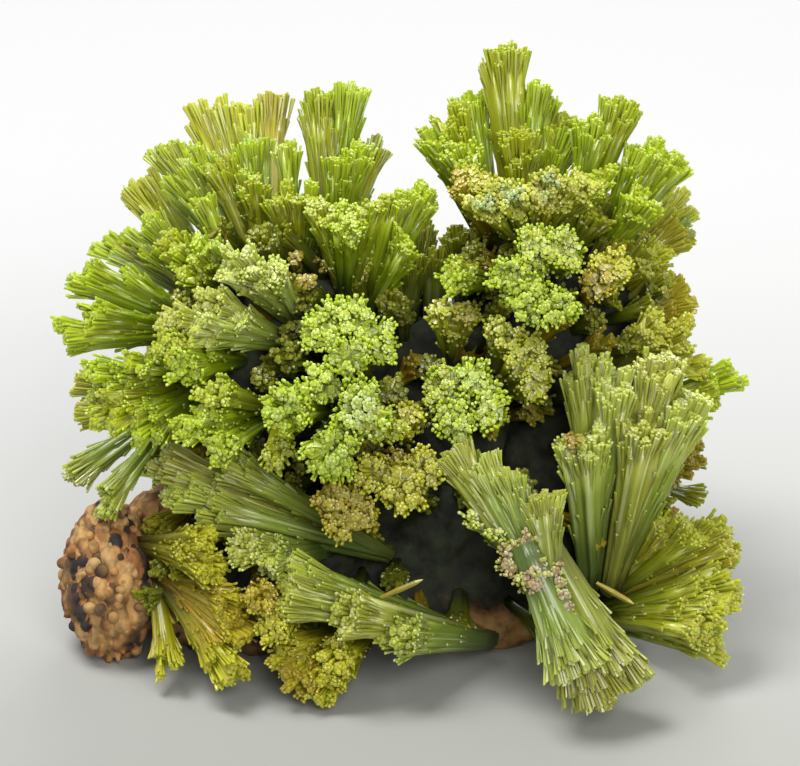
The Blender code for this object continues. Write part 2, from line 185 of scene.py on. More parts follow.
def studs(feet, tops, radii, sideways, twist, tipLift):
    # One hexagonal stud from each foot, where it is a point, to the six corners around its top, which a low
    # six-sided point closes. The foot is inside the lobe.
    count = len(radii)
    turn = twist[:, None] + np.arange(6) * math.tau / 6
    hexagon = np.cos(turn)[..., None] * sideways[0] + np.sin(turn)[..., None] * sideways[1]
    corners = tops[:, None] + radii[:, None, None] * hexagon
    apex = tops + unit(tops - feet) * (radii * tipLift)[:, None]
    vertices = np.concatenate([corners, apex[:, None], feet[:, None]], axis=1)
    corner, following = np.arange(6), (np.arange(6) + 1) % 6
    each = np.concatenate([
        np.stack([corner, following, np.full(6, 6)], -1), np.stack([np.full(6, 7), following, corner], -1)])
    triangles = (np.arange(count)[:, None, None] * 8 + each[None]).reshape(-1, 3)
    return vertices.reshape(-1, 3), triangles


waves = ((2, 0.13), (3, 0.12), (5, 0.1))  # how many are around a lobe's rim, and how high


def outline(angle, phase):
    # Distance of a lobe's rim from its axis, as a share of its radius: 1 and the sine of each wave
    return sum((high * np.sin(many * angle + turn) for (many, high), turn in zip(waves, phase)), 1.0)


def lobe(heap, start, tip, width, rng, own, hue, frost=0.0, pink=0.0):
    # A fluted core from start towards tip, whose radius grows with the way and its square, and hexagonal
    # studs that stand out of it: coarser ones on its end, fine ones around that, short ones along the flank
    axis = tip - start
    length = np.linalg.norm(axis)
    axis = axis / length
    side = unit(np.cross(axis, [0.3, 0.5, 0.81]))
    other = np.cross(axis, side)
    radius = own["tipShare"] * width
    phase = rng.uniform(0, math.tau, 3)
    fingers = hexGrid(radius * 1.3, own["finger"], rng)
    fingers = fingers[np.linalg.norm(fingers, axis=1) < radius * 1.15]
    if not len(fingers):
        fingers = np.zeros((1, 2))
    fingerOut = np.linalg.norm(fingers, axis=1) / radius
    drop = own["fingerStep"] * rng.uniform(0, 1, len(fingers)) ** 1.5 + own["dome"] * fingerOut ** 2
    drop = np.minimum(drop - drop.min(), own["fingerShare"] * length)
    fingerHue = rng.uniform(0, 1, len(fingers))
    same = {"hue": hue, "frost": frost, "pink": pink}

    def flare(way):
        # Width at a share of the way, as a share of the width at the tip
        return own["rootShare"] + (1 - own["rootShare"]) * (0.6 * way + 0.4 * way ** 2)

    def around(angle, share):
        # Points at a share of the rim's distance from the axis, in the lobe's cross plane
        far = radius * outline(angle, phase) * share
        return np.stack([np.cos(angle), np.sin(angle)], 1) * far[:, None]

    def nearestFinger(points):
        # Number of the finger that each point belongs to
        return np.argmin(np.linalg.norm(points[:, None] - fingers[None], axis=2), axis=1)

    def cleft(points):
        # 1 on the line between two fingers, 0 away from it
        apart = np.sort(np.linalg.norm(points[:, None] - fingers[None], axis=2), axis=1)
        if apart.shape[1] < 2:
            return np.zeros(len(points))
        return np.exp(-((apart[:, 1] - apart[:, 0]) / own["cleft"]) ** 2)

    def put(vertices, faces, attributes, smooth=False):
        # A part with the values that the whole lobe shares
        shared = {key: np.full(len(vertices), value) for key, value in same.items()}
        heap.add(vertices, faces, {**attributes, **shared}, smooth)

    def stand(points, out, reach, depth, size, push, lift):
        # Studs from reach - depth to reach millimetres along the axis, pushed out at the end
        count = len(points)
        way = np.stack([np.maximum(reach - depth, 0.05), reach], axis=1) / length
        nearest = nearestFinger(points)
        drawn = points + (fingers[nearest] - points) * own["groove"]
        drawn = drawn * (1 + own["splay"] * out[:, None] ** 2)
        offset = np.stack([points * own["footShare"], drawn], axis=1) * flare(way)[..., None]
        offset[:, 1] += unit(points + 1e-6) * push[:, None] + rng.normal(0, own["scatter"], (count, 2))
        centres = (start + axis * (way * length)[..., None] + offset[..., :1] * side
                   + offset[..., 1:] * other)
        twist = rng.uniform(0, 1, count)
        vertices, triangles = studs(centres[:, 0], centres[:, 1], size, (side, other), twist, lift)
        cap = np.full((count, 8), 0.45)
        cap[:, 6], cap[:, 7] = 1.0, 0.0
        growth = np.concatenate([np.repeat(way[:, 1:], 7, axis=1), way[:, :1]], axis=1)
        put(vertices, [triangles], {
            "growth": growth.ravel(), "toneAndSheen": np.repeat(rng.uniform(0, 1, count), 8),
            "rim": np.repeat(out, 8), "finger": np.repeat(fingerHue[nearest], 8), "cap": cap.ravel()})

    def core():
        # Rings of flutes up to just below the fingers' ends, closed by a point in the middle at each end
        corners, rows = own["flutes"], own["coreRings"]
        angle = np.arange(corners) * math.tau / corners
        rim, rimPoints = radius * outline(angle, phase), around(angle, 1.0)
        groove = cleft(rimPoints)
        along = np.linspace(*own["coreSpan"], rows)[:, None] * length + np.zeros(corners)
        top = length - drop[nearestFinger(rimPoints)] - 0.15 * groove
        top = top - rng.uniform(*own["coreBelow"], corners)
        along[-1] = np.maximum(top, along[-2] + 0.05)
        way = along / length
        deep = 1 - own["fluteDepth"] * (np.arange(corners) % 2) + rng.normal(0, own["uneven"][0], corners)
        ringRadius = rim * deep * flare(way) * (1 - own["cleftDepth"] * groove * np.sqrt(way))
        ringRadius = ringRadius * (1 + rng.normal(0, own["uneven"][1], ringRadius.shape))
        rings = (start + axis * along[..., None] + (ringRadius * np.cos(angle))[..., None] * side
                 + (ringRadius * np.sin(angle))[..., None] * other)
        ends = np.stack([start + axis * way[0].min() * length, start + axis * (along[-1].min() - 0.1)])
        ring = np.arange(corners)
        follow = (ring + 1) % corners
        row = np.arange(rows - 1)[:, None] * corners
        quads = np.stack([row + ring, row + follow, row + follow + corners, row + ring + corners], -1)
        last = (rows - 1) * corners
        caps = np.concatenate([
            np.stack([follow, ring, np.full(corners, rows * corners)], -1),
            np.stack([last + ring, last + follow, np.full(corners, rows * corners + 1)], -1)])
        streak = rng.uniform(0, 1, corners)
        vertices = np.concatenate([rings.reshape(-1, 3), ends])
        put(vertices, [quads.reshape(-1, 4), caps], {
            "growth": np.concatenate([way.ravel(), own["coreSpan"]]),
            "toneAndSheen": np.concatenate([np.tile(streak, rows), [0.5, 0.5]]),
            "rim": np.concatenate([np.ones(rows * corners), [0.0, 0.0]]),
            "finger": np.full(rows * corners + 2, 0.3),
            "cap": np.zeros(rows * corners + 2)}, True)

    def endFace():
        # Studs on a hexagonal grid, lower along the grooves between the fingers
        inner = hexGrid(radius * 1.2, own["innerSpacing"], rng)
        rim = radius * outline(np.arctan2(inner[:, 1], inner[:, 0]), phase)
        out = np.linalg.norm(inner, axis=1) / rim
        within = out < own["innerShare"]
        inner, out = inner[within], out[within]
        count = len(inner)
        if not count:
            return
        reach = (length - drop[nearestFinger(inner)] - own["raggedness"] * rng.uniform(0, 1.3, count)
                 - 0.3 * cleft(inner))
        size = own["innerSpacing"] * rng.uniform(*own["innerSize"], count)
        stand(inner, out, reach, np.full(count, 0.16 * length + 0.6), size, np.zeros(count),
              rng.uniform(0.0, 0.4, count))

    def rimStuds():
        # Studs around the rim, each a little off its even place
        count = max(6, int(math.tau * radius * 0.95 / own["rimSpacing"]))
        angle = (np.arange(count) + rng.uniform(-0.35, 0.35, count)) * math.tau / count
        far = rng.uniform(*own["rimShare"], count)
        points = around(angle, far)
        reach = (length - drop[nearestFinger(points)] - own["raggedness"] * rng.uniform(0, 2.2, count)
                 - 0.25 * cleft(points))
        stand(points, far, reach, 0.5 + length * rng.uniform(0.08, 0.2, count),
              own["rimSpacing"] * rng.uniform(*own["rimSize"], count),
              own["teeth"] * rng.uniform(0, 1, count) ** 1.6, rng.uniform(0.1, 1.2, count))

    def flankStuds():
        # Studs at random angles, most of them towards the tip
        count = int(own["scales"] * width / own["scaleWidth"])
        angle = rng.uniform(0, math.tau, count)
        points = around(angle, own["scaleShare"])
        reach = length * rng.uniform(*own["scaleReach"], count) ** 0.8
        stand(points, np.ones(count), reach, 0.4 + length * rng.uniform(0.06, 0.16, count),
              rng.uniform(*own["scaleSize"], count), rng.uniform(*own["scalesOut"], count),
              rng.uniform(0.0, 0.8, count))

    core()
    endFace()
    rimStuds()
    flankStuds()


# What the sprays at the back have instead
rear = {"flutes": 40, "innerSpacing": 0.3, "rimSpacing": 0.17, "scales": 12}

# The shorter lobes between two that stand close together
gaps = {
    "closer": 2.75,  # distance of the tips under which a gap gets a lobe
    "most": 3,  # in each spray
    "length": (0.84, 0.95),  # as a share of the way to the middle of the two tips
    "width": 0.42,  # as a share of the two widths together
    "scatter": 0.3,
}
rootSunk = 1.5  # how far behind its root a spray's lobes start


def spray(name, entry, material, seed):
    # Every lobe of a spray, and a shorter one between some that stand close together
    rng = np.random.default_rng(seed)
    own = {**bundle, **(rear if name.startswith("back") else {})}
    lobes = np.array(entry["lobes"], float)
    tips, widths = place(lobes[:, :3]), lobes[:, 3]
    root = place(entry["root"])[0]
    start = root + unit(root - tips.mean(axis=0)) * rootSunk
    heap = Heap()
    for index, (tip, width) in enumerate(zip(tips, widths)):
        foot = place(entry["from"][index])[0] if index in entry.get("from", {}) else start
        lobe(heap, foot, tip, width, rng, own, rng.uniform(0, 1), float(index in entry.get("frost", ())),
             float(index in entry.get("pink", ())))
    added = 0
    for first in range(len(tips)):
        for second in range(first + 1, len(tips)):
            apart = np.linalg.norm(tips[first] - tips[second])
            if apart < gaps["closer"] and added < gaps["most"] and "from" not in entry:
                added += 1
                middle = (tips[first] + tips[second]) / 2
                tip = start + (middle - start) * rng.uniform(*gaps["length"])
                tip = tip + rng.normal(0, gaps["scatter"], 3)
                width = gaps["width"] * (widths[first] + widths[second])
                lobe(heap, start, tip, width, rng, own, rng.uniform(0, 1))
    made = heap.piece(name, material)
    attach(made, "root")
    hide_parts(name)
    return made


# Each spray's root, its finish unless that is lime, and its lobes as across, up, near and width. frost and
# pink name the lobes with a pale or a pinkish end; from says where the lobes start that avoid the root.
sprays = {
    # Middle rosettes, pointing at the viewer
    "bright_front_rosette": {"root": (-3.5, -1.5, 3.5), "lobes": [
        (-7.4, -1.5, 12.5, 2.2), (-2.3, -1.6, 13.5, 2.3), (-4.3, -4.7, 13.5, 2.3),
        (-0.9, -2.8, 12.0, 1.6), (-5.0, 0.1, 12.0, 1.6)], "frost": (0, 2, 1)},
    "centre_upper_rosette": {"root": (-3.2, 2.0, 3.0), "lobes": [
        (-5.2, 3.3, 11.0, 1.7), (-2.8, 4.3, 11.0, 1.8), (-1.0, 2.6, 11.0, 1.6), (-3.2, 1.6, 12.5, 1.7)]},
    "lime_gold_rosette": {"root": (-0.4, -4.5, 0.5), "look": "gold", "lobes": [
        (-1.6, -5.8, 10.5, 1.7), (0.2, -6.8, 11.0, 1.9), (1.6, -5.4, 10.5, 1.6), (0.3, -2.2, 9.5, 1.4)]},
    "golden_brown_rosette": {"root": (-3.0, -7.0, 1.5), "look": "gold", "lobes": [
        (-4.3, -7.6, 9.5, 1.7), (-2.5, -8.4, 9.5, 1.6), (-3.6, -9.0, 9.0, 1.4)]},
    "yellow_green_rosette": {"root": (3.8, -1.8, -2.0), "lobes": [
        (2.5, 0.0, 9.0, 1.6), (4.4, 0.6, 9.0, 1.7), (3.4, -2.4, 10.0, 1.8),
        (5.8, -1.6, 9.0, 1.6)], "frost": (1,)},
    "olive_green_fan": {"root": (6.2, -0.2, -2.5), "look": "olive", "lobes": [
        (6.6, 3.4, 5.5, 1.5), (8.1, 2.0, 6.0, 1.6), (8.8, 0.1, 6.5, 1.5)]},
    "olive_twin_blades": {"root": (3.2, 1.6, -2.0), "look": "olive", "lobes": [
        (2.5, 4.9, 4.5, 1.1), (4.3, 4.6, 4.5, 1.0)]},
    # Left dome, front
    "left_frilly_fan": {"root": (-11.8, 0.2, 1.0), "lobes": [
        (-19.6, 0.3, 9.0, 1.6), (-18.8, -2.0, 9.5, 1.8), (-16.6, -3.2, 9.0, 1.8),
        (-17.3, 1.0, 8.5, 1.5)]},
    "left_bright_fan": {"root": (-10.0, 1.6, 2.2), "lobes": [
        (-15.2, 2.4, 10.0, 1.6), (-14.0, 0.9, 10.5, 1.5)]},
    "silky_long_fan": {"root": (-7.5, 2.6, 2.8), "look": "silky", "lobes": [
        (-14.9, 4.2, 8.5, 1.4), (-13.0, 3.4, 9.5, 1.3), (-12.4, 5.4, 8.0, 1.4)]},
    "silky_upright_fan": {"root": (-6.8, 4.2, 2.6), "look": "silky", "lobes": [
        (-11.2, 7.8, 8.0, 1.4), (-9.8, 7.9, 8.5, 1.2), (-8.2, 7.3, 8.0, 1.4)]},
    "lower_left_blades": {"root": (-8.0, -2.0, 2.2), "lobes": [
        (-13.5, -2.8, 11.0, 1.4), (-11.6, -4.3, 11.0, 1.4), (-12.0, -0.6, 11.0, 1.4),
        (-7.6, -4.9, 10.0, 1.3)]},
    "left_middle_spray": {"root": (-10.4, 5.6, 0.0), "lobes": [
        (-14.6, 9.2, 3.0, 1.4), (-12.7, 9.2, 4.0, 1.5), (-13.6, 7.6, 4.5, 1.3), (-12.4, 11.8, 0.5, 1.1)]},
    # Left dome, top
    "sparkling_fan": {"root": (-3.4, 6.2, 1.0), "lobes": [
        (-4.9, 11.2, 6.0, 1.5), (-3.2, 10.4, 6.5, 1.6), (-1.7, 11.8, 6.0, 1.4)]},
    "right_dome_fan": {"root": (-1.8, 4.8, -0.5), "lobes": [
        (0.2, 12.2, 3.0, 1.4), (1.8, 12.3, 3.0, 1.4), (0.6, 9.2, 4.5, 1.4)]},
    "upper_middle_blades": {"root": (-6.4, 7.6, 0.0), "lobes": [
        (-7.2, 15.2, 1.0, 1.2), (-7.6, 12.4, 3.0, 1.2), (-5.6, 12.5, 3.0, 1.3)]},
    "tall_top_spray": {"root": (-4.2, 7.8, -2.0), "lobes": [
        (-5.4, 18.5, -2.0, 1.3), (-3.2, 19.0, -2.4, 1.8), (-3.8, 14.3, 1.0, 1.3), (-2.4, 15.0, 0.5, 1.3),
        (-1.3, 15.3, -5.0, 1.2)]},
    "frosted_dome_spray": {"root": (-8.6, 7.6, -2.0), "lobes": [
        (-9.4, 15.6, -2.0, 1.6), (-11.3, 14.4, -1.5, 1.7), (-9.4, 13.2, 1.0, 1.4)], "frost": (0, 2)},
    # Left dome, side and back
    "left_upper_fan": {"root": (-13.0, 3.4, -2.0), "lobes": [
        (-20.6, 7.0, 0.0, 1.6), (-20.2, 4.5, 1.5, 1.2), (-21.5, 2.9, 1.0, 1.5), (-17.8, 6.6, -1.0, 1.5)]},
    "left_spiky_spray": {"root": (-12.0, 5.2, -3.6), "lobes": [
        (-19.2, 9.0, -5.0, 1.2), (-17.0, 9.8, -4.0, 1.4), (-16.0, 10.6, -3.0, 1.3)]},
    "left_shoulder_fan": {"root": (-10.0, 7.4, -3.6), "lobes": [
        (-14.8, 15.2, -4.0, 1.7), (-13.2, 14.8, -3.5, 1.6), (-14.6, 13.2, -3.5, 1.4)]},
    "left_back_spray": {"root": (-11.2, 5.4, -5.4), "look": "olive", "lobes": [
        (-17.0, 12.4, -8.0, 1.4), (-15.8, 13.3, -8.0, 1.3)]},
    "back_left_spray": {"root": (-8.4, 7.0, -5.2), "look": "olive", "lobes": [
        (-12.8, 17.6, -8.0, 1.4), (-11.5, 17.8, -8.0, 1.4), (-9.3, 18.0, -8.5, 1.2),
        (-7.9, 18.0, -8.5, 1.2)]},
    "left_rear_spray": {"root": (-14.0, -1.4, -5.0), "look": "olive", "lobes": [
        (-20.3, 0.2, -6.5, 1.4), (-20.2, -2.0, -6.5, 1.4)]},
    "left_columns": {"root": (-14.2, -1.8, -1.0), "look": "glassy", "lobes": [
        (-20.9, -6.2, -0.5, 1.3), (-18.9, -8.0, 3.8, 1.4)]},
    # Upper right
    "bright_right_rosette": {"root": (9.0, 6.4, 0.0), "lobes": [
        (6.7, 6.8, 11.0, 1.6), (8.6, 8.6, 11.0, 1.7), (10.5, 8.4, 11.0, 1.6), (8.0, 5.0, 12.0, 1.8),
        (9.9, 4.6, 12.0, 1.6)], "frost": (0,)},
    "frosted_lobed_spray": {"root": (8.2, 8.6, -1.4), "look": "olive", "lobes": [
        (5.2, 11.4, 7.5, 1.5), (7.0, 12.0, 8.5, 1.6), (9.3, 12.4, 8.5, 1.6),
        (11.5, 12.6, 7.5, 1.5)], "frost": (0, 1, 2)},
    "gold_bud": {"root": (6.2, 8.6, -2.6), "look": "gold", "lobes": [
        (3.9, 13.0, 3.5, 1.4), (5.0, 12.9, 3.5, 1.2)]},
    "left_pointing_blade": {"root": (6.0, 6.2, -1.2), "lobes": [
        (3.0, 6.5, 6.0, 1.2), (3.4, 7.3, 5.5, 0.9)]},
    "gold_block": {"root": (11.5, 5.2, -0.4), "look": "gold", "lobes": [
        (13.4, 7.6, 8.0, 1.6), (12.6, 6.6, 8.5, 1.4)]},
    "crown_spray": {"root": (7.6, 9.4, -3.5), "lobes": [
        (6.4, 21.3, -1.5, 1.8), (8.4, 19.0, -2.0, 1.8), (9.8, 17.6, -3.0, 1.8), (10.6, 16.2, -2.5, 1.8),
        (7.4, 16.0, 0.0, 1.8)]},
    "crown_left_spray": {"root": (5.8, 8.6, -4.0), "lobes": [
        (1.8, 16.2, 0.0, 1.6), (2.9, 17.5, 0.0, 1.7), (3.6, 15.0, 1.5, 1.7), (4.4, 18.4, -4.0, 1.6)]},
    "right_tall_fan": {"root": (10.8, 8.8, -2.6), "lobes": [
        (12.2, 16.9, 0.4, 1.7), (14.2, 18.0, 0.0, 1.5), (12.6, 13.5, 2.5, 1.5)]},
    "right_wide_fan": {"root": (12.2, 7.6, -2.8), "lobes": [
        (15.3, 14.9, 0.0, 1.4), (16.8, 15.0, 0.0, 1.5), (17.8, 14.3, -0.5, 1.3), (15.4, 11.8, 2.5, 1.6)]},
    "right_shadow_spray": {"root": (12.8, 6.6, -4.4), "look": "olive", "lobes": [
        (18.5, 11.6, -4.0, 1.5), (18.3, 10.0, -3.0, 1.6), (17.0, 8.6, -1.5, 1.5)], "frost": (1,)},
    "orange_olive_fan": {"root": (13.2, 3.6, -3.8), "look": "gold", "lobes": [
        (17.0, 7.2, -3.5, 1.6), (18.3, 5.8, -3.5, 1.6), (17.8, 4.0, -2.5, 1.5)]},
    "right_frilly_spray": {"root": (13.2, 0.8, -2.6), "look": "olive", "lobes": [
        (16.2, 3.7, 3.0, 1.5), (18.3, 3.2, 2.5, 1.5), (19.0, 1.4, 2.0, 1.4)]},
    "right_pointing_blades": {"root": (13.6, -2.2, -3.0), "lobes": [
        (21.3, 0.6, 1.0, 1.3), (19.8, -1.4, 1.5, 1.4), (18.8, -2.5, 2.0, 1.2)]},
    "brown_right_fan": {"root": (13.8, -5.0, -4.6), "look": "brown", "lobes": [
        (19.0, -3.7, -2.0, 1.6), (18.6, -5.0, -1.5, 1.6), (17.2, -6.1, -1.0, 1.4),
        (17.6, -2.6, -2.6, 1.6), (16.2, -4.6, -1.6, 1.6)]},
    # Lower right
    "glassy_fan_left_branch": {"root": (12.0, -11.8, -0.5), "look": "silky", "lobes": [
        (11.7, 2.2, 8.0, 2.1), (13.4, 0.8, 8.5, 2.0), (11.4, -3.0, 8.5, 2.1)]},
    "glassy_fan_right_branch": {"root": (13.4, -12.0, -0.5), "look": "silky", "lobes": [
        (16.6, 1.8, 7.5, 2.2), (18.2, -0.8, 7.5, 2.1), (15.4, -1.8, 8.0, 2.4)]},
    "broken_foreground_spray": {"root": (8.6, -12.0, -0.5), "look": "glassy", "lobes": [
        (3.0, -4.0, 9.0, 1.8), (4.6, -4.7, 9.5, 1.7), (6.4, -5.2, 10.0, 1.6), (8.8, -6.6, 12.0, 1.7),
        (9.6, -13.0, 12.9, 2.1), (11.2, -18.6, 11.8, 2.6), (12.8, -20.6, 9.8, 2.6),
        (14.6, -19.4, 9.4, 2.3), (7.6, -10.8, 12.5, 1.8), (5.6, -8.0, 10.4, 2.0),
        (10.9, -15.6, 11.0, 2.2), (8.6, -12.0, 13.0, 1.8), (13.4, -18.4, 10.8, 2.3)], "pink": (4, 8, 11),
        "from": {0: (8.2, -12.4, 9.6), 1: (8.8, -12.8, 10.4), 2: (9.2, -13.2, 10.8), 3: (9.6, -13.6, 11.4),
                 5: (7.6, -9.8, 11.6), 6: (8.4, -9.6, 10.4), 7: (9.2, -9.8, 10.0), 12: (8.6, -9.0, 11.2)}},
    "brown_lower_fan": {"root": (13.0, -11.0, -3.0), "look": "brown", "lobes": [
        (15.6, -6.2, -0.5, 1.6), (16.2, -8.4, 0.0, 1.6), (14.9, -4.2, -0.8, 1.6),
        (16.6, -7.2, -1.4, 1.5)]},
    "corner_upper_spray": {"root": (13.4, -13.2, -2.0), "look": "olive", "lobes": [
        (17.4, -8.1, 2.5, 1.2), (19.0, -9.0, 3.5, 1.6), (20.8, -8.7, 3.5, 1.5), (21.2, -10.4, 4.0, 1.4)]},
    "corner_lower_spray": {"root": (12.8, -14.6, -1.4), "look": "olive", "lobes": [
        (21.2, -12.3, 5.0, 1.6), (20.6, -14.0, 5.5, 1.6), (19.4, -15.5, 6.0, 1.6),
        (20.4, -16.4, 4.6, 1.5)]},
    # Lower left
    "long_diagonal_spray": {"root": (-1.6, -10.4, 1.0), "look": "glassy", "lobes": [
        (-15.4, -4.6, 5.5, 1.6), (-14.6, -6.4, 6.0, 1.6), (-12.6, -7.8, 6.5, 1.5),
        (-11.4, -4.8, 6.5, 1.6)]},
    "silvery_blades": {"root": (-5.0, -10.4, 2.2), "look": "glassy", "lobes": [
        (-10.2, -10.2, 9.0, 1.4), (-8.6, -11.4, 9.5, 1.3)]},
    "long_ground_stem": {"root": (4.8, -15.9, 0.8), "look": "glassy", "lobes": [
        (-7.4, -11.8, 8.5, 1.7), (-7.8, -13.4, 9.0, 1.6), (-3.8, -14.4, 10.0, 1.8),
        (-0.6, -15.8, 9.5, 1.8)]},
    "small_left_fan": {"root": (-15.6, -10.2, 2.4), "look": "gold", "lobes": [
        (-11.6, -10.0, 7.5, 1.5), (-11.2, -11.8, 7.5, 1.5)]},
    "lower_left_fan": {"root": (-14.6, -12.6, 2.2), "look": "gold", "lobes": [
        (-10.0, -14.2, 7.5, 1.6), (-9.4, -16.2, 7.5, 1.6), (-10.2, -18.6, 8.0, 1.6),
        (-14.4, -18.4, 5.4, 1.3)]},
    "yellow_olive_sprig": {"root": (-6.0, -13.4, 2.4), "look": "gold", "lobes": [
        (-9.2, -13.4, 9.8, 1.5), (-8.2, -15.4, 9.6, 1.5)]},
    "brown_ground_fan": {"root": (-2.2, -15.6, 1.0), "look": "gold", "lobes": [
        (-7.6, -17.2, 7.5, 1.7), (-6.8, -18.8, 8.0, 1.7), (-5.0, -19.4, 8.0, 1.6),
        (-4.4, -17.4, 8.6, 1.6)]},
    # Back and underside
    "back_upper_fan": {"root": (-2.4, 4.6, -6.8), "lobes": [
        (-4.2, 10.4, -13.0, 1.8), (-1.6, 11.2, -13.0, 1.8), (0.8, 9.0, -13.5, 1.7)]},
    "back_right_fan": {"root": (10.0, 5.4, -7.2), "look": "olive", "lobes": [
        (8.4, 11.2, -12.0, 1.7), (10.8, 11.6, -12.0, 1.8), (13.0, 9.6, -11.5, 1.7)]},
    "back_left_fan": {"root": (-10.4, 0.6, -6.8), "lobes": [
        (-15.6, 5.4, -11.0, 1.7), (-15.4, 2.6, -12.0, 1.8), (-13.0, 6.8, -12.5, 1.7)]},
    "back_middle_rosette": {"root": (-1.0, -3.0, -8.4), "look": "olive", "lobes": [
        (-4.4, -0.6, -15.0, 1.9), (-1.6, 1.4, -15.5, 2.0), (1.6, -1.0, -15.5, 1.9),
        (-1.8, -3.6, -15.5, 1.9)]},
    "back_lower_right_fan": {"root": (8.6, -8.0, -8.0), "look": "gold", "lobes": [
        (12.0, -4.6, -13.0, 1.8), (12.6, -7.6, -13.0, 1.8), (9.2, -5.4, -14.5, 1.9)]},
    "back_lower_left_fan": {"root": (-11.0, -8.0, -8.0), "look": "olive", "lobes": [
        (-15.2, -4.6, -12.0, 1.8), (-15.8, -7.6, -12.0, 1.7), (-12.0, -6.0, -14.5, 1.9)]},
}

# Crystal finish


def linear(red, green, blue):
    # A screen colour from 0 to 255 as the shader's own numbers
    values = np.array([red, green, blue]) / 255
    values = np.where(values <= 0.04045, values / 12.92, ((values + 0.055) / 1.055) ** 2.4)
    return (*values.tolist(), 1.0)


# Colours of each finish: where a lobe starts, along it, at its tip, on the warmer lobes, on pale end faces.
# The dark start and pale tip are partly the crystal's own colour and partly painted shade at the start and
# painted light shining through at the tip. The last number is how strong the streaks of painted highlight
# are.
looks = {
    "lime": {
        "root": (44, 62, 5), "body": (120, 140, 8), "tip": (172, 194, 40),
        "warm": (156, 152, 28), "frosty": (166, 190, 66), "paintedSheen": 0.15},
    "olive": {
        "root": (46, 56, 8), "body": (138, 146, 20), "tip": (186, 192, 56),
        "warm": (160, 144, 34), "frosty": (142, 160, 84), "paintedSheen": 0.15},
    "gold": {
        "root": (62, 60, 8), "body": (138, 134, 14), "tip": (182, 182, 42),
        "warm": (158, 122, 30), "frosty": (166, 166, 80), "paintedSheen": 0.0},
    "brown": {
        "root": (56, 48, 10), "body": (116, 102, 18), "tip": (148, 134, 36),
        "warm": (142, 102, 30), "frosty": (146, 140, 84), "paintedSheen": 0.0},
    "silky": {
        "root": (82, 98, 38), "body": (144, 160, 64), "tip": (188, 202, 86),
        "warm": (164, 160, 62), "frosty": (168, 180, 106), "paintedSheen": 0.35},
    "glassy": {
        "root": (76, 94, 36), "body": (124, 142, 52), "tip": (166, 178, 66),
        "warm": (154, 146, 54), "frosty": (150, 162, 92), "paintedSheen": 0.3},
    # Darker colours for the small sprigs that sit between the sprays: painted shade
    "deep": {
        "root": (32, 40, 6), "body": (84, 92, 12), "tip": (136, 138, 30),
        "warm": (162, 130, 26), "frosty": (130, 138, 60), "paintedSheen": 0.0},
}


def newMaterial(name):
    # A material, its nodes and links, and its surface shader
    made = bpy.data.materials.new(name)
    made.use_nodes = True
    tree = made.node_tree
    return made, tree.nodes, tree.links, tree.nodes["Principled BSDF"]


def setInputs(node, values):
    # Each named input's own number or colour
    for key, value in values.items():
        node.inputs[key].default_value = value


def noise(nodes, links, values):
    # Noise that stays with the object
    coordinates, node = nodes.new("ShaderNodeTexCoord"), nodes.new("ShaderNodeTexNoise")
    setInputs(node, values)
    links.new(coordinates.outputs["Object"], node.inputs["Vector"])
    return node.outputs["Fac"]


def attributeValue(nodes, name):
    # What a mesh carries under this name at each corner
    node = nodes.new("ShaderNodeAttribute")
    node.attribute_name = name
    return node.outputs["Fac"]


def mixed(nodes, links, factor, first, second, kind="MIX"):
    # A mix of two colours; each of the three is a number, a colour or another node's output
    node = nodes.new("ShaderNodeMix")
    node.data_type, node.blend_type = "RGBA", kind
    sockets = (node.inputs["Factor"], node.inputs[6], node.inputs[7])
    for socket, value in zip(sockets, (factor, first, second)):
        if isinstance(value, (float, tuple)):
            socket.default_value = value
        else:
            links.new(value, socket)
    return node.outputs[2]


